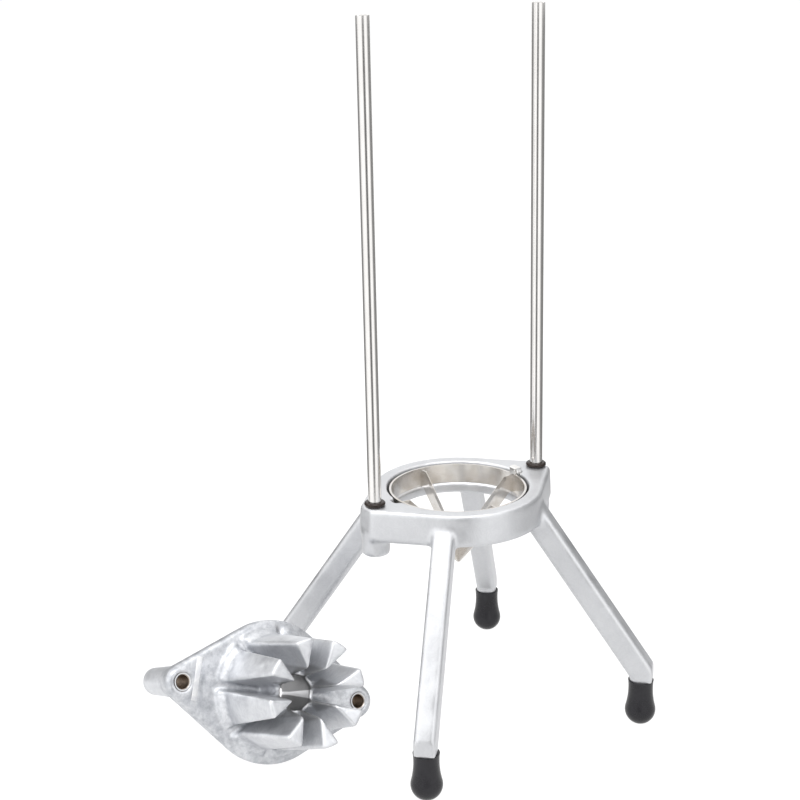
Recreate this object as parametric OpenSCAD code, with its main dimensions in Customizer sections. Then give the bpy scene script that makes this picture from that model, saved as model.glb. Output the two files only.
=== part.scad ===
// Countertop wedger: a four-legged cast frame with two guide rods, a lift-out ring of
// crossed V blades, and a cast pusher with eight drafted fingers that lies beside it.
// The origin is on the table under the ring's axis; X runs along the line of the rods.

/* [Frame] */
// Height of the ring's top face above the table
frame_top = 178.7; // [160:0.1:210]
// Height of the casting's outer wall
casting_h = 24.2; // [22:0.1:28]
// Outer radius of the ring
ring_r = 63.2; // [61:0.2:72]
// How far each rod ear reaches past the rod's axis
ear_reach = 9; // [8:0.5:14]
// Radius of the seat that takes the blade ring
seat_r = 52.1; // [51.8:0.1:54]
// Width of the inner lip that the blade ring rests on
lip_w = 4.6; // [3.6:0.1:6]
// Depth of the rod bosses below the ring
boss_drop = 12.5; // [11:0.5:18]

/* [Legs and boots] */
// Foot position across the frame, along the rods
foot_x = 95.2; // [88:0.2:115]
// Foot position across the frame, square to the rods
foot_y = 98.5; // [88:0.5:115]
// Width of a leg
leg_w = 15.4; // [13:0.1:17]
// Depth of a leg, square to its slope
leg_d = 18.8; // [17:0.2:21]
// Height of a rubber boot
boot_h = 34.5; // [30:0.5:40]
// Radius of a boot at its bulge
boot_r = 11.3; // [11:0.1:13]

/* [Guide rods] */
// Distance between the rods' axes
rod_spacing = 142.9; // [140:0.1:160]
// Diameter of a rod, three eighths of an inch
rod_d = 9.525; // [9:0.025:10]
// Height of the rods' tops above the table
rod_top = 520.7; // [440:0.1:600]
// Outer radius of a rubber bumper
bumper_r = 7.6; // [7:0.1:9]
// Thickness of a rubber bumper
bumper_h = 3.2; // [2.6:0.1:5]

/* [Blade ring] */
// Gap all round between the band and its seat
seat_gap = 1.7; // [1.2:0.1:2.4]
// Wall of the band
band_t = 1.5; // [1:0.1:2]
// Height of the band
band_h = 14.3; // [13:0.1:15]
// Depth of the band's rim below the ring's top face
band_sink = 1.7; // [1.2:0.1:2.2]
// Thickness of a blade
blade_t = 1; // [0.8:0.1:1.4]
// Height of a blade strip, measured upright
blade_h = 17.5; // [14:0.5:20]
// Length of the level stretch of a blade at the band
blade_level = 7; // [4:0.5:10]

/* [Pusher] */
// Radius of the plate's round middle
belly_r = 51.2; // [49:0.2:56]
// Thickness of the plate
plate_t = 10; // [8:0.5:12]
// Radius of an ear round its bore
ear_r = 12.2; // [11.6:0.1:14]
// Length of a guide barrel from the plate's front face
barrel_l = 47.5; // [38:0.5:50]
// Height of the fingers above the plate
finger_h = 66.2; // [58:0.2:70]
// Outer radius of the fingers at their tips
finger_r = 37.9; // [36:0.1:40]
// Number of fingers
finger_n = 8; // [4, 8]
// Draft of the fingers' walls in degrees
finger_draft = 4.6; // [3:0.1:5]
// Radius of the centre bore
core_r = 12; // [11:0.1:13]

/* [Hidden] */

$fn = 96;
hull_fn = 32;
skin = 0.01;
eps = 0.5;

rod_r = rod_d / 2;
rod_x = rod_spacing / 2;
casting_z = frame_top - casting_h;
boss_z = casting_z - boss_drop;
boss_wall = 5.4;
boss_r = rod_r + boss_wall;
edge_r = 2.2;
wall_draft = 0.8;
corner_r = 5;
corner_y = 5.5;
lip_r = seat_r - lip_w;
notch_w = 9.2;
notch_reach = 4.4;
notch_depth = 9;

foot_rad = norm([foot_x, foot_y]);
knee_rise = 9.3;
leg_lean = 0.6;
leg_root = 11.4;
leg_top = [seat_r + 0.2, frame_top - leg_root];
leg_knee = [foot_rad - leg_lean, boot_h + knee_rise];
leg_run = leg_knee - leg_top;
leg_tilt = atan2(leg_run[0], -leg_run[1]);
leg_len = norm(leg_run);
leg_round = 3.4;
leg_below = 6;
stub_reach = 8.7;
stub_round = 5;
stub_h = 12;
boot_flat = 0.9;
waist_in = 2.25;
waist_z = boot_h - 6.5;
peg_r = 6.9;
peg_z = 8;

spigot_r = rod_r - 0.4;
neck_z = frame_top + bumper_h;
screw_r = 2.5;
screw_head_r = 4.6;
screw_head_h = 3.4;
sink_depth = 4;
sink_floor = 4;
sink_z = boss_z + sink_depth;
rod_z = sink_z + sink_floor;
thread_depth = 14;

band_r = seat_r - seat_gap;
ring_top = frame_top - band_sink;
band_z = ring_top - band_h;
seat_z = band_z - 0.05;
band_in = band_r - band_t;
blade_top = -0.8;
level_r = band_in - blade_level;
tip_z = blade_top - level_r - blade_h;
tip_w = 1.2;
tab_top = -5;
tab_h = 7.5;
fit_gap = 0.03;

pad_r = 45.5;
pad_h = 4;
finger_base_r = finger_r + 3.6;
tip_drop = 5;
tip_inner_r = 16.8;
hub_wall = 2.6;
hub_h = 33.5;
floor_rise = 9;
slot_start = 4;
slot_sink = 0.2;
slot_half = 0.6;
slot_yaw = 3.3;
bush_r = 6.35;
bush_bore_r = rod_r + 0.06;
ear_boss_r = 10.2;
ear_boss_h = 1.2;
barrel_base_r = 11.4;
barrel_end_r = 9.8;

// Pose of the pusher as it lies beside the frame, on its belly and the end of one barrel
pusher_gap = 58.5;
pusher_y = 11.6;
pusher_turn = [66.99, 20.4, -5.1];
barrel_round = 2.4;
up_x = -sin(pusher_turn[1]);
up_z = cos(pusher_turn[1]) * cos(pusher_turn[0]);
rim_drop = sqrt(1 - up_z * up_z);
belly_low = (belly_r - edge_r) * rim_drop + edge_r - up_z * edge_r;
barrel_low = (barrel_end_r - barrel_round) * rim_drop + barrel_round - rod_x * up_x
  + (barrel_l - barrel_round) * up_z;
pusher_place = [-foot_x - pusher_gap, pusher_y, max(belly_low + plate_t * up_z, barrel_low) + 0.05];

function sides() = [-1, 1];

// Shared shapes

module mirrored_x() {
  children();
  mirror([1, 0, 0]) children();
}

module at_rod(side) {
  translate([side * rod_x, 0, 0]) children();
}

// A round slab with rounded rims and a slight draft, from z0 up to z1
module puck(r, z0, z1, edge, draft) {
  steps = [0, 30, 60, 90];
  low = [for (a = steps) [r + draft - edge + edge * sin(a), z0 + edge - edge * cos(a)]];
  high = [for (a = steps) [r - edge + edge * cos(a), z1 - edge + edge * sin(a)]];
  rotate_extrude() polygon(concat([[0, z0]], low, high, [[0, z1]]));
}

module rounded_bar(size, r) {
  w = size[0];
  d = size[1];
  square([w - 2 * r, d], center = true);
  square([w, d - 2 * r], center = true);
  for (x = sides(), y = sides())
    translate([x * (w / 2 - r), y * (d / 2 - r)]) circle(r = r, $fn = 48);
}

module place_pusher() {
  translate(pusher_place) rotate(pusher_turn) children();
}

// Frame

module leg() {
  stub = stub_reach - 0.5;
  overrun = 30;
  intersection() {
    translate([leg_top[0], 0, leg_top[1]]) rotate([0, 180 - leg_tilt, 0])
      translate([0, 0, -overrun])
        linear_extrude(leg_len + 2 * overrun) rounded_bar([leg_d, leg_w], leg_round);
    translate([0, -leg_w, boot_h])
      cube([foot_rad + stub_reach, 2 * leg_w, frame_top - leg_below - boot_h]);
  }
  translate([foot_rad, 0, boot_h])
    linear_extrude(stub_h) rounded_bar([2 * stub, leg_w], stub_round);
  translate([foot_rad, 0, peg_z]) cylinder(r = peg_r, h = boot_h + stub_h / 2 - peg_z);
}

module legs() {
  az = atan2(foot_y, foot_x);
  for (turn = [az, 180 - az, 180 + az, -az]) rotate(turn) leg();
}

module boss() {
  round_r = 2;
  rotate_extrude() {
    translate([0, boss_z + round_r]) square([boss_r, boss_drop + 6 - round_r]);
    translate([0, boss_z]) square([boss_r - round_r, boss_drop]);
    translate([boss_r - round_r, boss_z + round_r]) circle(r = round_r);
  }
}

module ring_body() {
  hull() {
    puck(ring_r - wall_draft, casting_z, frame_top, edge_r, wall_draft, $fn = 72);
    for (x = sides(), y = sides())
      translate([x * (rod_x + ear_reach - corner_r), y * corner_y, 0])
        puck(corner_r - wall_draft, casting_z, frame_top, edge_r, wall_draft, $fn = hull_fn);
  }
}

module rod_socket() {
  translate([0, 0, rod_z]) cylinder(r = spigot_r + skin, h = frame_top);
  translate([0, 0, boss_z - eps]) cylinder(r = screw_r + 0.3, h = frame_top - boss_z);
  translate([0, 0, boss_z - eps]) cylinder(r = screw_head_r + 0.3, h = sink_z - boss_z + eps);
}

module base_casting() {
  rim = 0.4;
  color("gainsboro") difference() {
    union() {
      ring_body();
      legs();
      for (side = sides()) at_rod(side) boss();
    }
    translate([0, 0, seat_z]) cylinder(r = seat_r, h = casting_h);
    translate([0, 0, casting_z - eps]) cylinder(r = lip_r, h = casting_h);
    translate([0, 0, frame_top - rim]) cylinder(r1 = seat_r, r2 = seat_r + 2 * rim, h = 2 * rim);
    mirrored_x() translate([lip_r, -notch_w / 2, frame_top - notch_depth])
      cube([seat_r + notch_reach - lip_r, notch_w, notch_depth + 1]);
    for (side = sides()) at_rod(side) rod_socket();
  }
}

// Guide rods and what holds and cushions them

// A rod ends in a turned-down spigot that passes through its bumper into the casting
module guide_rod(side) {
  chamfer = 0.7;
  color("silver") at_rod(side) difference() {
    union() {
      translate([0, 0, rod_z]) cylinder(r = spigot_r, h = neck_z - rod_z + chamfer);
      translate([0, 0, neck_z]) cylinder(r = rod_r, h = rod_top - neck_z - chamfer);
      translate([0, 0, rod_top - chamfer])
        cylinder(r1 = rod_r, r2 = rod_r - chamfer, h = chamfer);
    }
    translate([0, 0, rod_z - eps]) cylinder(r = screw_r + skin, h = thread_depth + eps);
  }
}

module rod_screw(side) {
  head_z = sink_z - screw_head_h;
  socket_r = 2;
  color("dimgray") at_rod(side) difference() {
    union() {
      translate([0, 0, head_z]) cylinder(r = screw_head_r, h = screw_head_h);
      translate([0, 0, head_z]) cylinder(r = screw_r, h = screw_head_h + sink_floor + thread_depth - 1);
    }
    translate([0, 0, head_z - eps]) cylinder(r = socket_r, h = 2.2 + eps, $fn = 6);
  }
}

module rod_bumper(side) {
  round_r = bumper_h / 2;
  bumper_gap = 0.05;
  width = bumper_r - spigot_r - bumper_gap;
  color("black") at_rod(side) translate([0, 0, frame_top]) rotate_extrude() {
    translate([spigot_r + bumper_gap, 0]) square([width - round_r, bumper_h]);
    translate([bumper_r - round_r, round_r]) circle(r = round_r);
  }
}

// A boot swells from its rim through a hollow waist into a ball, in two arcs that meet smoothly
module boot(x, y) {
  waist_r = boot_r - waist_in;
  ball_z = boot_r - boot_flat;
  rise = waist_z - ball_z;
  hollow_r = (waist_r ^ 2 + rise ^ 2 - boot_r ^ 2) / (2 * waist_in);
  share = boot_r / (boot_r + hollow_r);
  meet = [(waist_r + hollow_r) * share, ball_z + rise * share];
  color("black") translate([x * foot_x, y * foot_y, 0]) rotate_extrude() difference() {
    union() {
      intersection() {
        translate([0, ball_z]) circle(r = boot_r);
        square([boot_r, 2 * boot_r]);
      }
      difference() {
        translate([0, meet[1]]) square([meet[0], boot_h - meet[1]]);
        translate([waist_r + hollow_r, waist_z]) circle(r = hollow_r);
      }
    }
    translate([0, peg_z]) square([peg_r + skin, boot_h]);
  }
}

// Blade ring

module blade_tab(grow) {
  translate([band_in - 2, tab_top - tab_h - grow])
    square([band_t + 2 + grow, tab_h + 2 * grow]);
}

// A strip that runs level at the band, drops at 45 degrees to the middle and has end tabs
module blade_outline() {
  end = band_in - fit_gap;
  heel = level_r + blade_h - blade_top - band_h;
  half = [
    [level_r, blade_top], [end, blade_top], [end, tab_top], [band_r, tab_top],
    [band_r, tab_top - tab_h], [end, tab_top - tab_h], [end, -band_h], [heel, -band_h],
    [tip_w, tip_z + tip_w],
  ];
  other = [for (i = [len(half) - 1 : -1 : 0]) [-half[i][0], half[i][1]]];
  polygon(concat([[0, blade_top - level_r]], half, other));
}

// A ground bevel along the sloping cutting edge, on both faces
module edge_bevel() {
  land = 0.15;
  bevel = 3;
  mirrored_x() for (face = sides())
    translate([level_r, 0, blade_top]) rotate([0, -135, 0])
      linear_extrude(level_r * sqrt(2))
        polygon([[1, face * land], [0, face * land], [-bevel, face * blade_t / 2],
                 [-bevel, face * blade_t], [1, face * blade_t]]);
}

module blade_sheet() {
  difference() {
    translate([0, blade_t / 2, 0]) rotate([90, 0, 0]) linear_extrude(blade_t) blade_outline();
    edge_bevel();
  }
}

module lap_slot(z0) {
  w = blade_t + 2 * fit_gap;
  translate([-w / 2, -blade_t, z0]) cube([w, 2 * blade_t, blade_h / 2 + fit_gap + 1]);
}

module blade_long() {
  lap_z = tip_z + blade_h / 2;
  color("lightgray") translate([0, 0, ring_top]) difference() {
    blade_sheet();
    lap_slot(lap_z);
  }
}

module blade_cross() {
  color("lightgray") translate([0, 0, ring_top]) rotate(90) difference() {
    blade_sheet();
    lap_slot(tip_z - 1);
  }
}

module blade_band() {
  color("silver") difference() {
    translate([0, 0, band_z]) difference() {
      cylinder(r = band_r, h = band_h);
      translate([0, 0, -eps]) cylinder(r = band_in, h = band_h + 2 * eps);
    }
    for (turn = [0, 90]) rotate(turn) translate([0, blade_t / 2 + fit_gap, ring_top])
      rotate([90, 0, 0]) linear_extrude(blade_t + 2 * fit_gap) mirrored_x() blade_tab(fit_gap);
  }
}

// A folded clip over the band's rim: it drops into a notch of the seat and is the pull
module seat_lug() {
  width = notch_w - 1.2;
  inner = band_in;
  outer = seat_r + notch_reach - 0.8;
  proud = 3.2;
  skirt = 5.5;
  round_r = 2;
  top = band_z + band_h + fit_gap;
  color("whitesmoke") difference() {
    intersection() {
      translate([0, width / 2, frame_top]) rotate([90, 0, 0]) linear_extrude(width) {
        translate([inner, -skirt]) square([outer - inner, proud + skirt - round_r]);
        translate([inner + round_r, -skirt]) square([outer - inner - 2 * round_r, proud + skirt]);
        for (x = [inner + round_r, outer - round_r])
          translate([x, proud - round_r]) circle(r = round_r);
      }
      translate([0, 0, frame_top - skirt - 1]) linear_extrude(skirt + proud + 2) {
        translate([inner, round_r - width / 2]) square([outer - inner, width - 2 * round_r]);
        translate([inner + round_r, -width / 2]) square([outer - inner - 2 * round_r, width]);
        for (x = [inner + round_r, outer - round_r], y = [-1, 1])
          translate([x, y * (width / 2 - round_r)]) circle(r = round_r);
      }
    }
    translate([0, 0, top - band_h]) difference() {
      cylinder(r = band_r + fit_gap, h = band_h);
      translate([0, 0, -eps]) cylinder(r = band_in - fit_gap, h = band_h + 2 * eps);
    }
  }
}

// Pusher, drawn with its plate's front face at zero and its fingers up

module plate() {
  hull() {
    puck(belly_r, -plate_t, 0, edge_r, 0, $fn = 72);
    for (side = sides()) at_rod(side) puck(ear_r, -plate_t, 0, edge_r, 0, $fn = hull_fn);
  }
}

module barrel() {
  round_r = barrel_round;
  rotate_extrude() {
    polygon([[0, -1], [barrel_base_r, -plate_t + 1], [barrel_end_r, round_r - barrel_l],
             [0, round_r - barrel_l]]);
    translate([0, -barrel_l]) square([barrel_end_r - round_r, round_r + 1]);
    translate([barrel_end_r - round_r, round_r - barrel_l]) circle(r = round_r);
  }
}

// A raised, spot-faced boss round each bore
module ear_boss() {
  round_r = 0.8;
  rotate_extrude() {
    translate([0, -1]) square([ear_boss_r, 1 + ear_boss_h - round_r]);
    translate([0, -1]) square([ear_boss_r - round_r, 1 + ear_boss_h]);
    translate([ear_boss_r - round_r, ear_boss_h - round_r]) circle(r = round_r);
  }
}

// Profile that is revolved for the block that the fingers are cut from
module finger_profile() {
  fillet = 4;
  round_r = 1.8;
  translate([0, -1]) square([pad_r, pad_h + 1 - round_r]);
  translate([0, -1]) square([pad_r - round_r, pad_h + 1]);
  translate([pad_r - round_r, pad_h - round_r]) circle(r = round_r);
  polygon([[0, -1], [finger_base_r, 0], [finger_r, finger_h],
           [tip_inner_r, finger_h - tip_drop], [0, finger_h - tip_drop]]);
  difference() {
    translate([finger_base_r - 1, pad_h - 0.5]) square([fillet + 0.6, fillet]);
    translate([finger_base_r + fillet - 0.3, pad_h + fillet - 0.2]) circle(r = fillet);
  }
}

// One side of a slot: everything on the slot's side of a drafted wall
module slot_side() {
  reach = 2 * pad_r;
  translate([0, slot_half, 0]) rotate(slot_yaw) rotate([-finger_draft, 0, 0])
    translate([-slot_start, -pad_r, -slot_sink]) cube([reach, pad_r, 1.5 * finger_h]);
}

module slot() {
  intersection() {
    slot_side();
    mirror([0, 1, 0]) slot_side();
    translate([0, -pad_r, 0]) cube([pad_r + 2, 2 * pad_r, finger_h + 2]);
  }
}

module fingers() {
  difference() {
    rotate_extrude() finger_profile();
    for (i = [0 : finger_n - 1]) rotate(i * 360 / finger_n) slot();
  }
}

// The hub that ties the fingers together and the sloping floor of the slots round it
module hub() {
  hub_r = core_r + hub_wall;
  floor_r = pad_r - 1;
  rotate_extrude() polygon([[0, -1], [floor_r, -1], [floor_r, 0.4], [hub_r + 0.6, floor_rise],
                            [hub_r, hub_h], [0, hub_h]]);
}

// The hollow inside the fingers: a through bore that opens out above the hub
module hollow() {
  mouth_h = finger_h - tip_drop - hub_h;
  translate([0, 0, -plate_t - eps]) cylinder(r = core_r, h = plate_t + hub_h + 2 * eps);
  translate([0, 0, hub_h]) cylinder(r1 = core_r, r2 = tip_inner_r, h = mouth_h);
  translate([0, 0, hub_h + mouth_h - skin]) cylinder(r = tip_inner_r, h = tip_drop + 1);
}

module back_rib(side) {
  thick = 7;
  inner = core_r + 5;
  outer = rod_x - 4;
  low = 4;
  end = 9;
  translate([0, thick / 2, 0]) rotate([90, 0, 0]) linear_extrude(thick)
    polygon([[side * inner, 1 - plate_t], [side * outer, 1 - plate_t],
             [side * outer, end - barrel_l], [side * inner, -plate_t - low]]);
}

module label_bar() {
  at = rod_x - 12.5;
  size = [3, 31];
  height = 1;
  translate([-at, 0, -eps]) linear_extrude(height + eps) rounded_bar(size, 1.4);
}

module pusher_casting() {
  color("gainsboro") place_pusher() difference() {
    union() {
      plate();
      fingers();
      hub();
      label_bar();
      for (side = sides()) {
        at_rod(side) {
          barrel();
          ear_boss();
        }
        back_rib(side);
      }
    }
    hollow();
    for (side = sides()) at_rod(side)
      translate([0, 0, -barrel_l - eps])
        cylinder(r = bush_r, h = barrel_l + ear_boss_h + 2 * eps);
  }
}

module guide_bush(side) {
  chamfer = 0.7;
  recess = 0.4;
  length = barrel_l + ear_boss_h - 2 * recess;
  color("peru") place_pusher() at_rod(side) translate([0, 0, recess - barrel_l]) difference() {
    cylinder(r = bush_r - skin, h = length);
    translate([0, 0, -eps]) cylinder(r = bush_bore_r, h = length + 2 * eps);
    translate([0, 0, length - chamfer])
      cylinder(r1 = bush_bore_r, r2 = bush_bore_r + 2 * chamfer, h = 2 * chamfer);
  }
}

base_casting();
guide_rod(-1);  // guide_rod_left
guide_rod(1);  // guide_rod_right
rod_screw(-1);  // rod_screw_left
rod_screw(1);  // rod_screw_right
rod_bumper(-1);  // rod_bumper_left
rod_bumper(1);  // rod_bumper_right
boot(-1, -1);  // boot_front
boot(1, -1);  // boot_right
boot(1, 1);  // boot_back
boot(-1, 1);  // boot_left
blade_band();
blade_long();
blade_cross();
seat_lug();
pusher_casting();
guide_bush(-1);  // guide_bush_left
guide_bush(1);  // guide_bush_right
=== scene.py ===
"""Looks of a countertop vegetable wedger: cast skins, metal and rubber finishes, white studio."""

import math

import bmesh
import bpy
from bpy.props import FloatProperty, FloatVectorProperty, IntProperty, PointerProperty
from mathutils import Matrix, Vector, noise


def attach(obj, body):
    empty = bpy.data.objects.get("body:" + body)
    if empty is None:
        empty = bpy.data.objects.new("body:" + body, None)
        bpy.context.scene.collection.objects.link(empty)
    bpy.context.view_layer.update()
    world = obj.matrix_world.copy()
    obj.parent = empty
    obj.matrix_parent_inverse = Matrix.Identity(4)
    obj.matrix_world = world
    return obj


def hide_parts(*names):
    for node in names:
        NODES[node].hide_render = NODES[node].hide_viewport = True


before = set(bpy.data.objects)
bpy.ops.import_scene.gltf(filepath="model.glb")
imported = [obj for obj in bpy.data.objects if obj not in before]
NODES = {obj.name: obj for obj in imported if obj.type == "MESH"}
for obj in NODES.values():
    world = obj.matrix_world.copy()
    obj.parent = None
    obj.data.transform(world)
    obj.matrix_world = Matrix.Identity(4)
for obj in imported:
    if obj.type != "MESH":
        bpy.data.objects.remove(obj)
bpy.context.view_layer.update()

bl_info = {
    "name": "Countertop Wedger Looks",
    "version": (1, 0, 0),
    "blender": (4, 5, 0),
    "location": "View3D > Sidebar > Wedger",
    "description": "Cast skins, metal and rubber finishes and a white studio for a wedger",
    "category": "Object",
}


def turned(degrees, axis):
    return Matrix.Rotation(math.radians(degrees), 4, axis)


# Where the pusher lies: the middle of its plate's front face, and its turn from fingers up
PUSHER_PLACE = Vector((-0.1537, 0.0116, 0.0507645))
PUSHER_TURN = turned(-5.1, "Z") @ turned(20.4, "Y") @ turned(66.99, "X")

# Pusher in its own coordinates, in metres: heights over the plate's face and radii from the middle
HUB_TOP = 0.0335
FINGER_TOP = 0.0612
# The radius that parts the bore from the fingers, at the hub's top and at the fingers' top
BORE_RADII = (0.0128, 0.0178)
BORE_BLUR = 0.0004
BORE_ROUGHNESS = 0.34
# The edge of the painted shade on the fingers' inner ends: heights, the radii there, and its
# strength
SHADE_HEIGHTS = (0.030, 0.061)
SHADE_RADII = (0.0225, 0.0175)
SHADE_BLUR = 0.0012
SHADE_STRENGTH = 0.62
SHADE_START = (0.033, 0.037)
# The painted light streak down the bore, standing in for the lit slot floor seen down it: half its
# width in radians, deep down and at the hub's top
STREAK_BOTTOM = 0.002
STREAK_HALF = (0.09, 0.25)
STREAK_BLUR = 0.03
# The mottled plate: where it fades out at the front and at the back
PLATE_FRONT = (0.016, 0.006)
PLATE_BACK = (-0.018, -0.012)
# The height over which the bush's end shows its faced metal
BUSH_END = (0.00045, 0.0006)
# The raised bar: its middle, its slant in degrees and the rounding of its edges
BAR_PLACE = (-0.0610, 0.0033, 0)
BAR_SLANT = -2.1
BAR_EDGE = 0.0007

# As-cast lumps on the pusher, in millimetres: radii, heights and the share of the full depth
FOOT_RADII, FOOT_HEIGHTS, FOOT_SHARE = (38, 46.5), (0.5, 8), 0.22
HUB_RADII, HUB_HEIGHTS, HUB_SHARE = (12.4, 18.5), (6, 36), 0.85
FLOOR_RADII, FLOOR_SHARE = (17.5, 38), 0.55
# The sloping floor of the slots: its height at a radius, and its fall per millimetre outwards
FLOOR_RISE, FLOOR_RISE_AT, FLOOR_FALL = 9.5, 15, 0.24
MILLIMETRES = 1000
# Lumps in two sizes: waves per metre and the share of the finer ones
LUMP_COARSE, LUMP_FINE, LUMP_FINE_SHARE = 420, 900, 0.6

# Cast skins: the width of the waves in metres, their detail, and the step of a smoothing round
WAVE_WIDTH, WAVE_DETAIL = 0.013, 2
SMOOTH_STEP = 0.5
# How far two points of a CAD mesh may lie apart and still be joined, in metres
JOIN_GAP = 1e-6

# Cast aluminium: how metallic each casting looks, and the size of its clouds and wrinkles
METAL_FRAME, METAL_PUSHER = 0.92, 0.82
FRAME_GRAIN = {"Cloud": 48.0, "Wrinkle": 230.0}
PUSHER_GRAIN = {"Cloud": 85.0, "Wrinkle": 140.0}
# Shares of clouds and creases in the tone, and of clouds, creases and grain in the height
TONE_SHARES = (0.82, 0.18)
HEIGHT_SHARES = (0.55, 0.20, 0.25)
# How far the wrinkles are pushed about, and the noise range that turns into creases
WRINKLE_PUSH = 0.02
CREASE_RANGE = (0.36, 0.64)
# The noise range of the clouds, and the roughness that it turns into
CLOUD_RANGE = (0.25, 0.75)
CAST_ROUGHNESS = (0.30, 0.50)
# Pointiness at which an edge starts to look brighter and looks brightest, and how much it does:
# rubbed wear together with a painted edge highlight
RUBBED_AND_HIGHLIT_EDGE_RANGE = (0.515, 0.62)
RUBBED_AND_HIGHLIT_EDGE_STRENGTH = 0.7
# Strength and height of the bump in castings and in rubber, and its strength in drawn steel
CAST_BUMP = (0.30, 0.0005)
RUBBER_BUMP = (0.22, 0.0002)
STEEL_BUMP_STRENGTH = 0.25
# The middle part of a noise, which carries most of its values
NOISE_RANGE = (0.3, 0.7)
# Stain on drawn steel: its noise range. Dust on rubber: waves per metre, noise range and cover
STAIN_RANGE = (0.42, 0.72)
DUST_SCALE = 70.0
DUST_RANGE = (0.45, 0.80)
DUST_COVER = (0.0, 0.7)
# Spots on the pusher's plate: waves per metre, noise range and cover
SPOT_SCALE = 150.0
SPOT_RANGE = (0.40, 0.64)
SPOT_COVER = (0.08, 0.95)

# Camera and lamps, placed in metres
CAMERA_PLACE = (-0.65057, -0.95608, 0.61328)
CAMERA_RIGHT = (0.84273, -0.53799, -0.01947)
CAMERA_UP = (0.17912, 0.24611, 0.95257)
SENSOR_WIDTH = 36.0
CLIP_NEAR, CLIP_FAR = 0.05, 50.0
# Name, setting with its power, place, aim and width
LAMPS = (
    ("Key", "key", (-1.1, -1.5, 2.3), (-0.05, 0, 0.2), 3.0),
    ("Fill", "fill", (2.0, -0.6, 1.5), (0, 0, 0.2), 1.8),
    ("Rim", "rim", (-1.5, 0.9, 1.7), (-0.12, 0, 0.1), 1.6),
)
# Panels of the light tent: direction in degrees and brightness
TENT_PANELS = (
    (-180, 0.95), (-147, 0.95), (-134, 0.14), (-114, 0.14), (-101, 0.95), (-66, 0.92),
    (-44, 0.23), (22, 0.17), (42, 0.80), (78, 0.80), (96, 0.19), (140, 0.21), (158, 0.85),
    (180, 0.95),
)
# Shares of the tent's height between which the panels give way to even cloth, and its brightness
TENT_RISE = (0.59, 0.65)
TENT_EVEN = 0.93
TENT_SIDES = 96
TENT_LIFT = 0.002
# The floor's glow to the camera, against 1 in reflections, and its share over the plain floor
FLOOR_GLOW = 1.175
FLOOR_GLOW_SHARE = 0.80


def colour_of(name, description, default):
    return FloatVectorProperty(
        name=name, description=description, default=default, size=3, min=0, max=1, subtype="COLOR"
    )


def length_of(name, description, default):
    return FloatProperty(
        name=name, description=description, default=default, min=0, unit="LENGTH", precision=5
    )


class WedgerFinish(bpy.types.PropertyGroup):
    """Colours of the wedger's metals and rubbers"""

    casting: colour_of("Casting", "Tumbled cast aluminium", (0.622, 0.629, 0.645))
    casting_shade: colour_of(
        "Casting shade", "Duller patches of the casting", (0.56, 0.567, 0.585)
    )
    # Brighter edges: rubbed wear together with a painted edge highlight
    casting_edge_wear_and_highlight: colour_of("Casting edge", "Rubbed edges of the casting", (0.78, 0.78, 0.78))
    pusher: colour_of("Pusher", "Cast aluminium of the pusher", (0.695, 0.705, 0.725))
    pusher_shade: colour_of("Pusher shade", "Duller patches of the pusher", (0.565, 0.575, 0.60))
    pusher_spots: colour_of(
        "Pusher spots", "Dull spots on the pusher's plate", (0.40, 0.413, 0.44)
    )
    # Painted shade: the colour of the bore and the fingers' inner ends, dark where shade falls
    bore: colour_of("Bore", "Dark bore inside the fingers", (0.26, 0.26, 0.265))
    # Painted light: a bright streak down the bore wall, standing in for the lit slot floor seen
    # through it
    bore_painted_light_streak: colour_of("Bore streak", "Light streak down the bore", (0.92, 0.92, 0.94))
    rod: colour_of("Rod", "Ground stainless bar", (0.78, 0.765, 0.75))
    blade: colour_of("Blade", "Rolled stainless strip", (0.735, 0.712, 0.685))
    blade_stain: colour_of("Blade stain", "Warm tarnish on the strip", (0.62, 0.575, 0.52))
    clip: colour_of("Clip", "Bright folded clip", (0.86, 0.85, 0.83))
    boot: colour_of("Boot", "Black boot rubber", (0.009, 0.0085, 0.011))
    boot_dust: colour_of("Boot dust", "Dust on the boot rubber", (0.022, 0.0215, 0.025))
    bumper: colour_of("Bumper", "Dark bumper rubber", (0.014, 0.009, 0.007))
    bush: colour_of("Bush", "Oiled bush", (0.52, 0.44, 0.37))
    screw: colour_of("Screw", "Plain steel screw", (0.33, 0.33, 0.34))


class WedgerSizes(bpy.types.PropertyGroup):
    """Sizes of the cast skins"""

    frame_cell: length_of("Frame cell", "Mesh cell of the frame casting's skin", 0.0011)
    frame_fillet: length_of("Frame fillet", "Fillet in the frame casting's corners", 0.0015)
    pusher_cell: length_of("Pusher cell", "Mesh cell of the pusher casting's skin", 0.00105)
    pusher_fillet: length_of("Pusher fillet", "Fillet in the pusher casting's corners", 0.0009)
    frame_rounds: IntProperty(
        name="Frame rounds", description="Smoothing rounds of the frame's skin", default=3, min=0
    )
    pusher_rounds: IntProperty(
        name="Pusher rounds", description="Smoothing rounds of the pusher's skin", default=3, min=0
    )
    frame_wave: length_of("Frame wave", "Height of the waves in the frame's skin", 0.00010)
    pusher_wave: length_of("Pusher wave", "Height of the waves in the pusher's skin", 0.00022)
    rough: length_of("Rough", "Height of the rough patches on the pusher", 0.0006)
    bar_length: length_of("Bar length", "Length of the raised bar on the pusher", 0.031)
    bar_width: length_of("Bar width", "Width of the raised bar on the pusher", 0.0044)
    bar_height: length_of("Bar height", "Height of the raised bar on the pusher", 0.0014)


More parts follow.
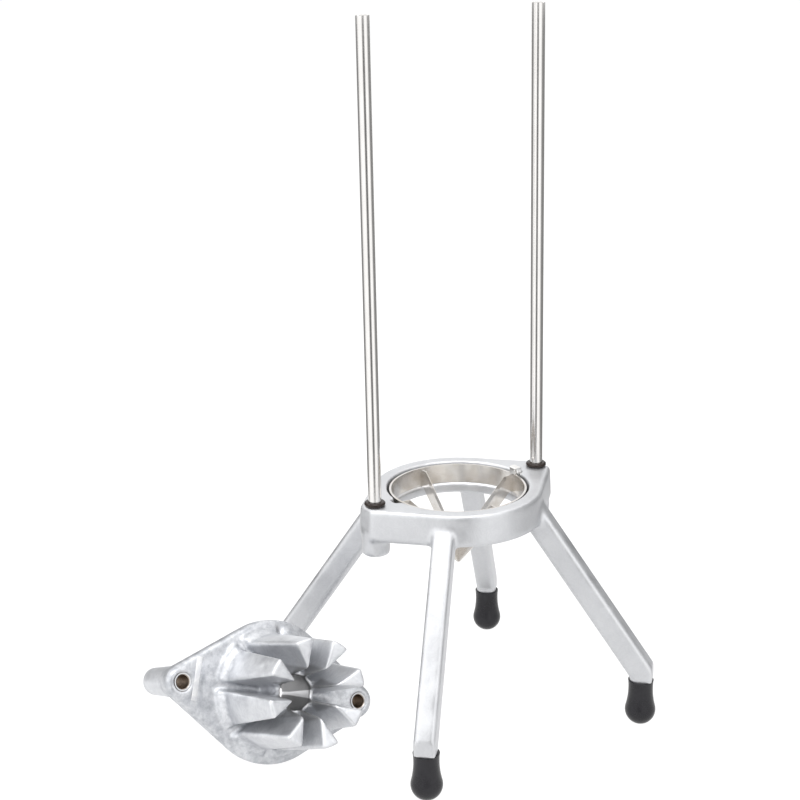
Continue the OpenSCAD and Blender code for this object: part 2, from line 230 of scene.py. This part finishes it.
class WedgerStudio(bpy.types.PropertyGroup):
    """Camera, floor and lamps"""

    lens: FloatProperty(
        name="Lens", description="Focal length of the camera in mm", default=75.70, unit="CAMERA"
    )
    floor: colour_of("Floor", "Plain white floor", (0.86, 0.86, 0.86))
    floor_half: length_of("Floor half width", "Half the floor's width", 9.0)
    tent_radius: length_of("Tent radius", "Radius of the light tent", 0.52)
    tent_height: length_of("Tent height", "Height of the light tent", 0.80)
    key: FloatProperty(
        name="Key", description="Power of the key lamp", default=100, unit="POWER"
    )
    fill: FloatProperty(
        name="Fill", description="Power of the fill lamp", default=20, unit="POWER"
    )
    rim: FloatProperty(
        name="Rim", description="Power of the rim lamp", default=34, unit="POWER"
    )
    glow: FloatProperty(
        name="Glow", description="Strength of the tent's brightest panel", default=1.4
    )
    ambient: FloatProperty(
        name="Ambient", description="Strength of the even light", default=0.40
    )


# Node trees


def put(tree, kind, values=None, **settings):
    """Add a node, with its settings and the values of its inputs"""
    made = tree.nodes.new(kind)
    for name, value in settings.items():
        setattr(made, name, value)
    for key, value in (values or {}).items():
        made.inputs[key].default_value = value
    return made


def remap(tree, low, high, first=0.0, last=1.0):
    """A node that carries the range from low to high over to the range from first to last"""
    return put(tree, "ShaderNodeMapRange", {1: low, 2: high, 3: first, 4: last})


def maths(tree, operation, second=None):
    """A maths node, with its second value where that is fixed"""
    return put(tree, "ShaderNodeMath", {} if second is None else {1: second}, operation=operation)


def vectors(tree, operation, second=None):
    """A vector maths node, with its second vector where that is fixed"""
    values = {} if second is None else {1: second}
    return put(tree, "ShaderNodeVectorMath", values, operation=operation)


def wire(tree, *pairs):
    """Link sockets, given as (node, output, node, input)"""
    for source, output, target, slot in pairs:
        tree.links.new(source.outputs[output], target.inputs[slot])


def opaque(colour):
    return (*colour, 1.0)


def shaded(colour, share):
    """A colour made darker, or lighter with a share over 1"""
    return tuple(share * part for part in colour)


def new_group(name, inputs, outputs):
    """A shader node group with value inputs and outputs, given as {name: default}"""
    tree = bpy.data.node_groups.new(name, "ShaderNodeTree")
    vector = tree.interface.new_socket("Vector", in_out="INPUT", socket_type="NodeSocketVector")
    vector.hide_value = True
    for key, value in inputs.items():
        socket = tree.interface.new_socket(key, in_out="INPUT", socket_type="NodeSocketFloat")
        socket.default_value = value
    for key in outputs:
        tree.interface.new_socket(key, in_out="OUTPUT", socket_type="NodeSocketFloat")
    return tree, tree.nodes.new("NodeGroupInput"), tree.nodes.new("NodeGroupOutput")


def cast_grain_group():
    """Cloudy tone, wrinkles and fine grain of a tumbled casting"""
    tree, entry, leave = new_group(
        "Cast Grain", {"Cloud": 34.0, "Wrinkle": 95.0, "Grain": 900.0}, ("Tone", "Rough", "Height")
    )
    cloud = put(tree, "ShaderNodeTexNoise", {"Detail": 4.0, "Roughness": 0.62})
    warp = put(tree, "ShaderNodeTexNoise", {"Scale": 60.0, "Detail": 2.0})
    push = put(tree, "ShaderNodeVectorMath", {"Scale": WRINKLE_PUSH}, operation="SCALE")
    shift = vectors(tree, "ADD")
    wrinkle = put(tree, "ShaderNodeTexNoise", {"Detail": 1.5, "Distortion": 2.4})
    crease = remap(tree, *CREASE_RANGE)
    grain = put(tree, "ShaderNodeTexNoise", {"Detail": 3.0, "Roughness": 0.7})
    tone = maths(tree, "MULTIPLY", TONE_SHARES[0])
    blend = maths(tree, "MULTIPLY_ADD", TONE_SHARES[1])
    rough = remap(tree, *CLOUD_RANGE, *CAST_ROUGHNESS)
    low = maths(tree, "MULTIPLY", HEIGHT_SHARES[0])
    mid = maths(tree, "MULTIPLY_ADD", HEIGHT_SHARES[1])
    high = maths(tree, "MULTIPLY_ADD", HEIGHT_SHARES[2])
    wire(
        tree,
        (entry, "Vector", cloud, "Vector"), (entry, "Cloud", cloud, "Scale"),
        (entry, "Vector", warp, "Vector"), (warp, "Color", push, 0),
        (entry, "Vector", shift, 0), (push, 0, shift, 1), (shift, 0, wrinkle, "Vector"),
        (entry, "Wrinkle", wrinkle, "Scale"), (wrinkle, 0, crease, 0),
        (entry, "Vector", grain, "Vector"), (entry, "Grain", grain, "Scale"),
        (cloud, 0, tone, 0), (crease, 0, blend, 0), (tone, 0, blend, 2), (blend, 0, leave, "Tone"),
        (cloud, 0, rough, 0), (rough, 0, leave, "Rough"),
        (cloud, 0, low, 0), (crease, 0, mid, 0), (low, 0, mid, 2),
        (grain, 0, high, 0), (mid, 0, high, 2), (high, 0, leave, "Height"),
    )
    return tree


def drawn_lines_group():
    """Fine lines left by grinding or rolling, with a cloudy stain"""
    tree, entry, leave = new_group(
        "Drawn Lines", {"Along": 12.0, "Across": 1400.0, "Stain": 30.0}, ("Line", "Stain")
    )
    stretch = put(tree, "ShaderNodeCombineXYZ")
    scaled = vectors(tree, "MULTIPLY")
    lines = put(tree, "ShaderNodeTexNoise", {"Scale": 1.0, "Detail": 3.0, "Roughness": 0.65})
    stain = put(tree, "ShaderNodeTexNoise", {"Detail": 3.0, "Roughness": 0.6})
    wire(
        tree,
        (entry, "Along", stretch, "X"), (entry, "Along", stretch, "Y"),
        (entry, "Across", stretch, "Z"), (entry, "Vector", scaled, 0), (stretch, 0, scaled, 1),
        (scaled, 0, lines, "Vector"), (lines, 0, leave, "Line"),
        (entry, "Vector", stain, "Vector"), (entry, "Stain", stain, "Scale"),
        (stain, 0, leave, "Stain"),
    )
    return tree


def use_group(tree, name, **values):
    """Place a shared group that reads the object's own coordinates"""
    made = put(tree, "ShaderNodeGroup", node_tree=bpy.data.node_groups[name])
    for key, value in values.items():
        made.inputs[key].default_value = value
    place = put(tree, "ShaderNodeTexCoord")
    wire(tree, (place, "Object", made, "Vector"))
    return made


def new_material(name, **values):
    """A material with one Principled shader and the plain values of its sockets"""
    material = bpy.data.materials.new(name)
    material.use_nodes = True
    tree = material.node_tree
    shader = tree.nodes["Principled BSDF"]
    for key, value in values.items():
        shader.inputs[key.replace("_", " ")].default_value = value
    return material, tree, shader


def two_colours(tree, first, second):
    """A mix of two colours whose factor is still open"""
    return put(tree, "ShaderNodeMix", {6: opaque(first), 7: opaque(second)}, data_type="RGBA")


def bump_from(tree, shader, strength, distance):
    bump = put(tree, "ShaderNodeBump", {"Strength": strength, "Distance": distance})
    wire(tree, (bump, "Normal", shader, "Normal"))
    return bump


def casting_material(name, body_colours, edge_colour, metal, **grain):
    """Satin cast aluminium with cloudy tone and brighter edges: rubbed wear together with a
    painted edge highlight
    """
    material, tree, shader = new_material(name, Metallic=metal, IOR=1.5)
    skin = use_group(tree, "Cast Grain", **grain)
    body = two_colours(tree, *body_colours)
    spread = remap(tree, *NOISE_RANGE)
    edge = put(tree, "ShaderNodeMix", {7: opaque(edge_colour)}, data_type="RGBA")
    form = put(tree, "ShaderNodeNewGeometry")
    # Edges brighten with pointiness: rubbed wear together with a painted edge highlight
    rubbed_and_highlit = remap(tree, *RUBBED_AND_HIGHLIT_EDGE_RANGE, 0.0, RUBBED_AND_HIGHLIT_EDGE_STRENGTH)
    bump = bump_from(tree, shader, *CAST_BUMP)
    wire(
        tree,
        (skin, "Tone", spread, 0), (spread, 0, body, 0), (body, 2, edge, 6),
        (form, "Pointiness", rubbed_and_highlit, 0), (rubbed_and_highlit, 0, edge, 0), (edge, 2, shader, "Base Color"),
        (skin, "Rough", shader, "Roughness"), (skin, "Height", bump, "Height"),
    )
    return material, tree, shader


def pusher_coordinates(tree):
    """The pusher's own coordinates, with its plate's face at zero and its fingers up"""
    place = put(tree, "ShaderNodeTexCoord")
    offset = vectors(tree, "SUBTRACT", PUSHER_PLACE)
    local = put(tree, "ShaderNodeCombineXYZ")
    wire(tree, (place, "Object", offset, 0))
    for index in range(3):
        share = vectors(tree, "DOT_PRODUCT", PUSHER_TURN.to_3x3().col[index])
        wire(tree, (offset, 0, share, 0), (share, "Value", local, index))
    return local


def grey_ramp(tree, stops):
    """A colour ramp through greys, given as (place, level)"""
    ramp = put(tree, "ShaderNodeValToRGB")
    elements = ramp.color_ramp.elements
    while len(elements) < len(stops):
        elements.new(0.5)
    for element, (spot, level) in zip(elements, stops):
        element.position = spot
        element.color = (level, level, level, 1)
    return ramp


def overlay(tree, shader, mask, key, source, output=0):
    """Lay a colour or a value over what feeds a shader socket, where a mask says so"""
    wide = key == "Base Color"
    mix = put(tree, "ShaderNodeMix", data_type="RGBA" if wide else "FLOAT")
    first, second, out = (6, 7, 2) if wide else (2, 3, 0)
    tree.links.new(shader.inputs[key].links[0].from_socket, mix.inputs[first])
    if hasattr(source, "outputs"):
        wire(tree, (source, output, mix, second))
    else:
        mix.inputs[second].default_value = source
    wire(tree, (mask, 0, mix, 0), (mix, out, shader, key))


def painted_bore_shade_and_light_streak(tree, shader, dark, light):
    """Paint shade into the bore and onto the fingers' inner ends, with a painted light streak that
    narrows downwards
    """
    local = pusher_coordinates(tree)
    split = put(tree, "ShaderNodeSeparateXYZ")
    flat = vectors(tree, "MULTIPLY", (1, 1, 0))
    reach = vectors(tree, "LENGTH")
    mouth = remap(tree, HUB_TOP, FINGER_TOP, *BORE_RADII)
    inside = maths(tree, "SUBTRACT")
    bore = remap(tree, -BORE_BLUR, BORE_BLUR)
    edge = remap(tree, *SHADE_HEIGHTS, *SHADE_RADII)
    beyond = maths(tree, "SUBTRACT")
    near = remap(tree, -SHADE_BLUR, SHADE_BLUR, 0.0, SHADE_STRENGTH)
    above = remap(tree, *SHADE_START)
    shade = maths(tree, "MULTIPLY")
    mask = maths(tree, "MAXIMUM")
    angle = maths(tree, "ARCTAN2")
    width = maths(tree, "ABSOLUTE")
    taper = remap(tree, STREAK_BOTTOM, HUB_TOP, *STREAK_HALF)
    beside = maths(tree, "SUBTRACT")
    streak = remap(tree, -STREAK_BLUR, STREAK_BLUR, 1.0, 0.0)
    tone = two_colours(tree, dark, light)
    wire(
        tree,
        (local, 0, split, 0), (local, 0, flat, 0), (flat, 0, reach, 0), (split, "Z", mouth, 0),
        (mouth, 0, inside, 0), (reach, "Value", inside, 1), (inside, 0, bore, 0),
        (split, "Z", edge, 0), (edge, 0, beyond, 0), (reach, "Value", beyond, 1),
        (beyond, 0, near, 0), (split, "Z", above, 0), (near, 0, shade, 0), (above, 0, shade, 1),
        (bore, 0, mask, 0), (shade, 0, mask, 1), (split, "Y", angle, 0), (split, "X", angle, 1),
        (angle, 0, width, 0), (split, "Z", taper, 0), (width, 0, beside, 0),
        (taper, 0, beside, 1), (beside, 0, streak, 0), (streak, 0, tone, 0),
    )
    # Lay the painted shade and the painted light streak over the base colour
    overlay(tree, shader, mask, "Base Color", tone, 2)
    overlay(tree, shader, bore, "Roughness", BORE_ROUGHNESS)


def mottled_plate(tree, shader, colour):
    """Show the plate duller and spotted, as it left the mould, and the fingers cleaner"""
    place = put(tree, "ShaderNodeTexCoord")
    split = put(tree, "ShaderNodeSeparateXYZ")
    plate = remap(tree, *PLATE_FRONT)
    back = remap(tree, *PLATE_BACK)
    slab = maths(tree, "MULTIPLY")
    spots = put(tree, "ShaderNodeTexNoise", {"Scale": SPOT_SCALE, "Detail": 5.0, "Roughness": 0.7})
    cover = remap(tree, *SPOT_RANGE, *SPOT_COVER)
    mask = maths(tree, "MULTIPLY")
    wire(
        tree,
        (pusher_coordinates(tree), 0, split, 0), (split, "Z", plate, 0), (split, "Z", back, 0),
        (plate, 0, slab, 0), (back, 0, slab, 1), (slab, 0, mask, 0),
        (place, "Object", spots, "Vector"), (spots, 0, cover, 0), (cover, 0, mask, 1),
    )
    overlay(tree, shader, mask, "Base Color", opaque(colour))


def faced_end(tree, colour):
    """Show the bush's end as bright as the boss that it was faced together with"""
    split = put(tree, "ShaderNodeSeparateXYZ")
    mask = remap(tree, *BUSH_END)
    wire(tree, (pusher_coordinates(tree), 0, split, 0), (split, "Z", mask, 0))
    overlay(tree, tree.nodes["Principled BSDF"], mask, "Base Color", opaque(colour))


def strip_material(name, first, second, rough, bump_height, **lines):
    """Ground or rolled stainless steel with fine lines and a cloudy stain"""
    material, tree, shader = new_material(name, Metallic=1.0)
    drawn = use_group(tree, "Drawn Lines", **lines)
    mix = two_colours(tree, first, second)
    stain = remap(tree, *STAIN_RANGE)
    gloss = remap(tree, *NOISE_RANGE, *rough)
    bump = bump_from(tree, shader, STEEL_BUMP_STRENGTH, bump_height)
    wire(
        tree,
        (drawn, "Stain", stain, 0), (stain, 0, mix, 0), (mix, 2, shader, "Base Color"),
        (drawn, "Line", gloss, 0), (gloss, 0, shader, "Roughness"),
        (drawn, "Line", bump, "Height"),
    )
    return material


def rubber_material(name, body, dust, rough, grain, shine):
    """Moulded rubber with a fine grain and a little dust"""
    material, tree, shader = new_material(name, Metallic=0.0, Specular_IOR_Level=shine)
    place = put(tree, "ShaderNodeTexCoord")
    noise_values = {"Scale": DUST_SCALE, "Detail": 5.0, "Roughness": 0.65}
    cloud = put(tree, "ShaderNodeTexNoise", noise_values)
    fine = put(tree, "ShaderNodeTexNoise", {"Scale": grain, "Detail": 2.0})
    mix = two_colours(tree, body, dust)
    veil = remap(tree, *DUST_RANGE, *DUST_COVER)
    gloss = remap(tree, *NOISE_RANGE, *rough)
    bump = bump_from(tree, shader, *RUBBER_BUMP)
    wire(
        tree,
        (place, "Object", cloud, "Vector"), (place, "Object", fine, "Vector"),
        (cloud, 0, veil, 0), (veil, 0, mix, 0), (mix, 2, shader, "Base Color"),
        (cloud, 0, gloss, 0), (gloss, 0, shader, "Roughness"), (fine, 0, bump, "Height"),
    )
    return material


def dress(material, *names):
    """Give CAD nodes a material"""
    for name in names:
        for slot in NODES[name].material_slots:
            slot.material = material


# Pieces


def settle(piece):
    """Turn a piece's modifiers into its mesh"""
    graph = bpy.context.evaluated_depsgraph_get()
    mesh = bpy.data.meshes.new_from_object(piece.evaluated_get(graph))
    piece.modifiers.clear()
    piece.data = mesh


def cast_skin(node, body, cell, fillet, rounds, wave_height, material):
    """A softened skin over a casting: filleted corners, rounded edges and gentle waves"""
    mesh = NODES[node].data.copy()
    shell = bmesh.new()
    shell.from_mesh(mesh)
    bmesh.ops.remove_doubles(shell, verts=shell.verts, dist=JOIN_GAP)
    shell.to_mesh(mesh)
    shell.free()
    piece = bpy.data.objects.new(node + "_skin", mesh)
    bpy.context.scene.collection.objects.link(piece)
    steps = (("Cells", 0.0), ("Grow", fillet), ("Close", 0.0), ("Shrink", -fillet), ("Shell", 0.0))
    for name, depth in steps:
        if depth:
            swell = piece.modifiers.new(name, "DISPLACE")
            swell.strength = depth
            swell.mid_level = 0.0
        else:
            cells = piece.modifiers.new(name, "REMESH")
            cells.mode = "VOXEL"
            cells.voxel_size = cell
            cells.use_smooth_shade = True
    soft = piece.modifiers.new("Soften", "SMOOTH")
    soft.factor = SMOOTH_STEP
    soft.iterations = rounds
    cloud = bpy.data.textures.new(node + " waves", "CLOUDS")
    cloud.noise_scale = WAVE_WIDTH
    cloud.noise_depth = WAVE_DETAIL
    wave = piece.modifiers.new("Waves", "DISPLACE")
    wave.texture = cloud
    wave.texture_coords = "LOCAL"
    wave.strength = wave_height
    wave.mid_level = 0.5
    settle(piece)
    piece.data.materials.clear()
    piece.data.materials.append(material)
    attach(piece, body)
    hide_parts(node)
    return piece


def within(value, limits):
    return limits[0] < value < limits[1]


def roughen(piece, depth):
    """Leave as-cast lumps on the hub and the slot floors, and faint ones at the fingers' feet"""
    back = (Matrix.Translation(PUSHER_PLACE) @ PUSHER_TURN).inverted()
    normals = [vertex.normal.copy() for vertex in piece.data.vertices]
    for vertex, normal in zip(piece.data.vertices, normals):
        spot = back @ vertex.co
        reach = math.hypot(spot.x, spot.y) * MILLIMETRES
        height = spot.z * MILLIMETRES
        floor_top = FLOOR_RISE - FLOOR_FALL * (reach - FLOOR_RISE_AT)
        if within(reach, FOOT_RADII) and within(height, FOOT_HEIGHTS):
            share = FOOT_SHARE
        elif FLOOR_RADII[0] <= reach <= FLOOR_RADII[1] and 0 < height < floor_top:
            share = FLOOR_SHARE
        elif within(reach, HUB_RADII) and within(height, HUB_HEIGHTS):
            share = HUB_SHARE
        else:
            continue
        fine = noise.noise(spot * LUMP_FINE)
        lump = noise.noise(spot * LUMP_COARSE) + LUMP_FINE_SHARE * fine
        vertex.co += normal * depth * share * lump


def raised_bar(material):
    """The plain raised bar across the pusher's left ear"""
    sizes = bpy.context.scene.wedger_sizes
    made = bmesh.new()
    bmesh.ops.create_cube(made, size=1.0)
    height = 2 * sizes.bar_height
    bmesh.ops.scale(made, verts=made.verts, vec=(sizes.bar_width, sizes.bar_length, height))
    bmesh.ops.bevel(
        made, geom=made.edges[:], offset=BAR_EDGE, segments=3, profile=0.5, affect="EDGES",
        material=-1,
    )
    plate = Matrix.Translation(PUSHER_PLACE) @ PUSHER_TURN
    spot = plate @ Matrix.Translation(BAR_PLACE) @ turned(BAR_SLANT, "Z")
    bmesh.ops.transform(made, matrix=spot, verts=made.verts)
    bmesh.ops.recalc_face_normals(made, faces=made.faces)
    mesh = bpy.data.meshes.new("raised_bar")
    made.to_mesh(mesh)
    made.free()
    mesh.shade_smooth()
    mesh.materials.append(material)
    piece = bpy.data.objects.new("raised_bar", mesh)
    bpy.context.scene.collection.objects.link(piece)
    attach(piece, "pusher")


class WEDGER_OT_shared_grain(bpy.types.Operator):
    """Make the node groups that several finishes use"""

    bl_idname = "wedger.shared_grain"
    bl_label = "Shared grain"

    def execute(self, context):
        cast_grain_group()
        drawn_lines_group()
        return {"FINISHED"}


class WEDGER_OT_frame_casting(bpy.types.Operator):
    """Skin the four-legged frame casting"""

    bl_idname = "wedger.frame_casting"
    bl_label = "Frame casting"

    def execute(self, context):
        sizes = context.scene.wedger_sizes
        finish = context.scene.wedger_finish
        colours = (finish.casting_shade, finish.casting)
        material, _, _ = casting_material(
            "Frame Casting", colours, finish.casting_edge_wear_and_highlight, METAL_FRAME, **FRAME_GRAIN
        )
        cast_skin(
            "base_casting", "frame", sizes.frame_cell, sizes.frame_fillet,
            sizes.frame_rounds, sizes.frame_wave, material,
        )
        return {"FINISHED"}


class WEDGER_OT_pusher_casting(bpy.types.Operator):
    """Skin the pusher casting"""

    bl_idname = "wedger.pusher_casting"
    bl_label = "Pusher casting"

    def execute(self, context):
        sizes = context.scene.wedger_sizes
        finish = context.scene.wedger_finish
        colours = (finish.pusher_shade, finish.pusher)
        edge = finish.casting_edge_wear_and_highlight
        material, tree, shader = casting_material(
            "Pusher Casting", colours, edge, METAL_PUSHER, **PUSHER_GRAIN
        )
        mottled_plate(tree, shader, finish.pusher_spots)
        # Painted shade in the bore and on the fingers' inner ends, and a painted light streak down
        # the bore
        painted_bore_shade_and_light_streak(tree, shader, finish.bore, finish.bore_painted_light_streak)
        skin = cast_skin(
            "pusher_casting", "pusher", sizes.pusher_cell, sizes.pusher_fillet,
            sizes.pusher_rounds, sizes.pusher_wave, material,
        )
        roughen(skin, sizes.rough)
        # Painted highlight: the raised bar's body takes the brighter edge colour, as if its flank
        # were lit
        painted_lit_bar, _, _ = casting_material(
            "Raised Bar", (finish.pusher_shade, edge), edge, METAL_PUSHER, **PUSHER_GRAIN
        )
        raised_bar(painted_lit_bar)
        return {"FINISHED"}


class WEDGER_OT_guide_rods(bpy.types.Operator):
    """Finish the guide rods and the screws that hold them"""

    bl_idname = "wedger.guide_rods"
    bl_label = "Guide rods"

    def execute(self, context):
        finish = context.scene.wedger_finish
        rod = strip_material(
            "Guide Rod", finish.rod, shaded(finish.rod, 0.93), rough=(0.10, 0.20),
            bump_height=0.00004, Along=6.0, Across=1800.0,
        )
        dress(rod, "guide_rod_left", "guide_rod_right")
        screw = strip_material(
            "Rod Screw", finish.screw, shaded(finish.screw, 0.6), rough=(0.28, 0.45),
            bump_height=0.0001, Across=500.0,
        )
        dress(screw, "rod_screw_left", "rod_screw_right")
        return {"FINISHED"}


class WEDGER_OT_rubber(bpy.types.Operator):
    """Finish the boots and the rod bumpers"""

    bl_idname = "wedger.rubber"
    bl_label = "Boots and bumpers"

    def execute(self, context):
        finish = context.scene.wedger_finish
        boot = rubber_material(
            "Boot Rubber", finish.boot, finish.boot_dust, rough=(0.22, 0.36), grain=1500.0,
            shine=0.36,
        )
        dress(boot, "boot_front", "boot_right", "boot_back", "boot_left")
        bumper = rubber_material(
            "Bumper Rubber", finish.bumper, shaded(finish.bumper, 2.2), rough=(0.16, 0.30),
            grain=900.0, shine=0.3,
        )
        dress(bumper, "rod_bumper_left", "rod_bumper_right")
        return {"FINISHED"}


class WEDGER_OT_blade_ring(bpy.types.Operator):
    """Finish the band, the crossed blades and the clip"""

    bl_idname = "wedger.blade_ring"
    bl_label = "Blade ring"

    def execute(self, context):
        finish = context.scene.wedger_finish
        blade = strip_material(
            "Blade Strip", finish.blade, finish.blade_stain, rough=(0.19, 0.24),
            bump_height=0.00002, Stain=55.0,
        )
        dress(blade, "blade_band", "blade_long", "blade_cross")
        clip = strip_material(
            "Ring Clip", finish.clip, shaded(finish.clip, 0.9), rough=(0.14, 0.24),
            bump_height=0.00006, Across=700.0,
        )
        dress(clip, "seat_lug")
        return {"FINISHED"}


class WEDGER_OT_bushes(bpy.types.Operator):
    """Finish the guide bushes"""

    bl_idname = "wedger.bushes"
    bl_label = "Guide bushes"

    def execute(self, context):
        finish = context.scene.wedger_finish
        bush = strip_material(
            "Guide Bush", finish.bush, shaded(finish.bush, 0.45), rough=(0.26, 0.42),
            bump_height=0.0001, Stain=160.0,
        )
        faced_end(bush.node_tree, finish.casting)
        dress(bush, "guide_bush_left", "guide_bush_right")
        return {"FINISHED"}


# Stage


def stage_mesh(name, shape, material):
    """A stage piece made by a function that fills a bmesh"""
    mesh = bpy.data.meshes.new(name)
    made = bmesh.new()
    shape(made)
    made.to_mesh(mesh)
    made.free()
    piece = bpy.data.objects.new(name, mesh)
    bpy.context.scene.collection.objects.link(piece)
    mesh.materials.append(material)
    return piece


def floor_material(colour):
    """White to the eye and in reflections, with a faint shadow; plain diffuse to other light"""
    material = bpy.data.materials.new("Studio Floor")
    material.use_nodes = True
    tree = material.node_tree
    tree.nodes.clear()
    leave = put(tree, "ShaderNodeOutputMaterial")
    plain = put(tree, "ShaderNodeBsdfDiffuse", {"Color": opaque(colour)})
    glow = put(tree, "ShaderNodeEmission")
    path = put(tree, "ShaderNodeLightPath")
    level = remap(tree, 0.0, 1.0, 1.0, FLOOR_GLOW)
    seen = maths(tree, "MAXIMUM")
    clear = maths(tree, "MAXIMUM")
    share = maths(tree, "MULTIPLY", FLOOR_GLOW_SHARE)
    mix = put(tree, "ShaderNodeMixShader")
    wire(
        tree,
        (path, "Is Camera Ray", seen, 0), (path, "Is Glossy Ray", seen, 1),
        (seen, 0, clear, 0), (path, "Is Transmission Ray", clear, 1), (clear, 0, share, 0),
        (path, "Is Camera Ray", level, 0), (level, 0, glow, "Strength"),
        (share, 0, mix, 0), (plain, 0, mix, 1), (glow, 0, mix, 2), (mix, 0, leave, "Surface"),
    )
    return material


def tent_material(height, strength):
    """Cloth of a light tent: bright panels with darker gaps low down, even light above"""
    material = bpy.data.materials.new("Tent Cloth")
    material.use_nodes = True
    tree = material.node_tree
    tree.nodes.clear()
    leave = put(tree, "ShaderNodeOutputMaterial")
    glow = put(tree, "ShaderNodeEmission", {"Strength": strength})
    place = put(tree, "ShaderNodeTexCoord")
    split = put(tree, "ShaderNodeSeparateXYZ")
    angle = maths(tree, "ARCTAN2")
    turn = remap(tree, -math.pi, math.pi)
    ramp = grey_ramp(tree, [((degrees + 180) / 360, level) for degrees, level in TENT_PANELS])
    rise = remap(tree, TENT_RISE[0] * height, TENT_RISE[1] * height)
    even = (TENT_EVEN, TENT_EVEN, TENT_EVEN)
    mix = put(tree, "ShaderNodeMix", {7: opaque(even)}, data_type="RGBA")
    wire(
        tree,
        (place, "Object", split, 0), (split, "Y", angle, 0), (split, "X", angle, 1),
        (angle, 0, turn, 0), (turn, 0, ramp, 0), (split, "Z", rise, 0), (rise, 0, mix, 0),
        (ramp, 0, mix, 6), (mix, 2, glow, "Color"), (glow, 0, leave, "Surface"),
    )
    return material


def white_world(ambient):
    """White to the eye and in reflections, a softer even light elsewhere"""
    world = bpy.data.worlds.new("White Studio")
    world.use_nodes = True
    tree = world.node_tree
    sky = tree.nodes["Background"]
    sky.inputs["Color"].default_value = (1, 1, 1, 1)
    path = put(tree, "ShaderNodeLightPath")
    clear = maths(tree, "MAXIMUM")
    seen = maths(tree, "MAXIMUM")
    level = maths(tree, "MAXIMUM", ambient)
    wire(
        tree,
        (path, "Is Camera Ray", clear, 0), (path, "Is Transmission Ray", clear, 1),
        (clear, 0, seen, 0), (path, "Is Glossy Ray", seen, 1), (seen, 0, level, 0),
        (level, 0, sky, "Strength"),
    )
    bpy.context.scene.world = world


def soft_lamp(name, place, aim, size, power):
    """A square soft lamp that looks at a point"""
    lamp = bpy.data.lights.new(name, "AREA")
    lamp.energy = power
    lamp.size = size
    made = bpy.data.objects.new(name, lamp)
    made.location = place
    made.rotation_mode = "QUATERNION"
    made.rotation_quaternion = (Vector(aim) - Vector(place)).to_track_quat("-Z", "Y")
    bpy.context.scene.collection.objects.link(made)


class WEDGER_OT_studio(bpy.types.Operator):
    """Set up the camera, the white floor, the light tent and the lamps"""

    bl_idname = "wedger.studio"
    bl_label = "Studio"

    def execute(self, context):
        scene = context.scene
        studio = scene.wedger_studio
        lens = bpy.data.cameras.new("Camera")
        lens.lens = studio.lens
        lens.sensor_width = SENSOR_WIDTH
        lens.clip_start, lens.clip_end = CLIP_NEAR, CLIP_FAR
        camera = bpy.data.objects.new("Camera", lens)
        right = Vector(CAMERA_RIGHT)
        back = right.cross(Vector(CAMERA_UP)).normalized()
        up = back.cross(right)
        turn = Matrix((right, up, back)).transposed().to_4x4()
        camera.matrix_world = Matrix.Translation(CAMERA_PLACE) @ turn
        scene.collection.objects.link(camera)
        scene.camera = camera

        def floor_shape(made):
            bmesh.ops.create_grid(made, x_segments=2, y_segments=2, size=studio.floor_half)

        def tent_shape(made):
            bmesh.ops.create_cone(
                made, segments=TENT_SIDES, radius1=studio.tent_radius,
                radius2=studio.tent_radius, depth=studio.tent_height, cap_ends=False,
            )
            lift = studio.tent_height / 2 + TENT_LIFT
            bmesh.ops.translate(made, verts=made.verts, vec=(0, 0, lift))

        stage_mesh("floor", floor_shape, floor_material(studio.floor))
        tent = stage_mesh("light_tent", tent_shape, tent_material(studio.tent_height, studio.glow))
        tent.visible_camera = False
        tent.visible_diffuse = False
        tent.visible_shadow = False
        white_world(studio.ambient)
        for name, power, place, aim, size in LAMPS:
            soft_lamp(name, place, aim, size, getattr(studio, power))
        scene.view_settings.view_transform = "Standard"
        return {"FINISHED"}


class WEDGER_PT_looks(bpy.types.Panel):
    """Steps of the wedger's looks, with their colours and sizes"""

    bl_label = "Wedger Looks"
    bl_space_type = "VIEW_3D"
    bl_region_type = "UI"
    bl_category = "Wedger"

    def draw(self, context):
        for step in STEPS:
            self.layout.operator(step.bl_idname)
        for group in (
            context.scene.wedger_finish, context.scene.wedger_sizes, context.scene.wedger_studio
        ):
            box = self.layout.box()
            for name in group.__annotations__:
                box.prop(group, name)


STEPS = (
    WEDGER_OT_shared_grain,
    WEDGER_OT_frame_casting,
    WEDGER_OT_pusher_casting,
    WEDGER_OT_guide_rods,
    WEDGER_OT_rubber,
    WEDGER_OT_blade_ring,
    WEDGER_OT_bushes,
    WEDGER_OT_studio,
)
GROUPS = (WedgerFinish, WedgerSizes, WedgerStudio)


def register():
    for made in (*GROUPS, *STEPS, WEDGER_PT_looks):
        bpy.utils.register_class(made)
    bpy.types.Scene.wedger_finish = PointerProperty(type=WedgerFinish)
    bpy.types.Scene.wedger_sizes = PointerProperty(type=WedgerSizes)
    bpy.types.Scene.wedger_studio = PointerProperty(type=WedgerStudio)


def unregister():
    del bpy.types.Scene.wedger_finish
    del bpy.types.Scene.wedger_sizes
    del bpy.types.Scene.wedger_studio
    for made in reversed((*GROUPS, *STEPS, WEDGER_PT_looks)):
        bpy.utils.unregister_class(made)


def main():
    register()
    bpy.ops.wedger.shared_grain()
    bpy.ops.wedger.frame_casting()
    bpy.ops.wedger.pusher_casting()
    bpy.ops.wedger.guide_rods()
    bpy.ops.wedger.rubber()
    bpy.ops.wedger.blade_ring()
    bpy.ops.wedger.bushes()
    bpy.ops.wedger.studio()


if __name__ == "__main__":
    main()
